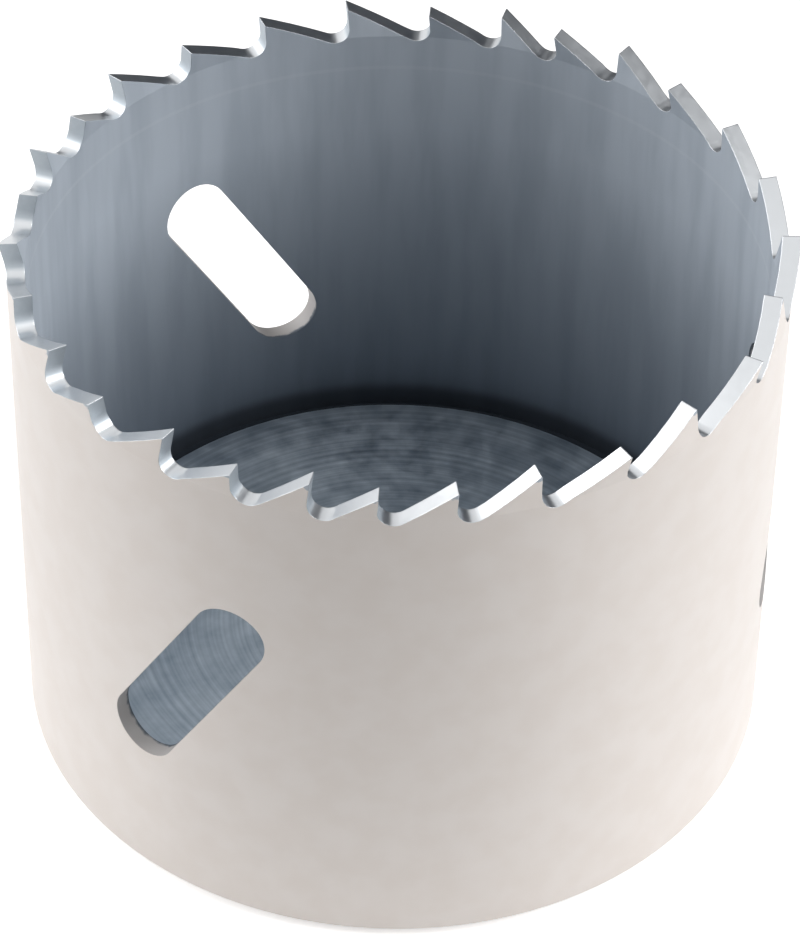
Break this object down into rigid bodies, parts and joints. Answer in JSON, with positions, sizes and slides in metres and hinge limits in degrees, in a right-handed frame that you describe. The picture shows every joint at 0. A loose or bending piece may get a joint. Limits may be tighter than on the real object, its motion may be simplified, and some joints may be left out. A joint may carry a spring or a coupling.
{
  "type": "hole saw",
  "caption": "Cup-shaped bimetal hole saw, 51 mm, with a raker-set toothed rim, slanted plug-ejection slots and a thick threaded cap for an arbor.",
  "frame": {"origin": "centre of the cap's flat back face, where the saw seats on its arbor's shoulder", "axes": "+Z along the axis of rotation towards the tooth tips, +X through the middle of one slanted slot"},
  "size_m": [0.0509, 0.0507, 0.0386],
  "materials": {
    "cup": "cream enamel over rolled steel strip, bare blue-grey steel inside",
    "cap": "turned mild steel, dull blue-grey"
  },
  "bodies": {
    "root": {"saw_cup": "cup", "end_cap": "cap"}
  },
  "joints": []
}
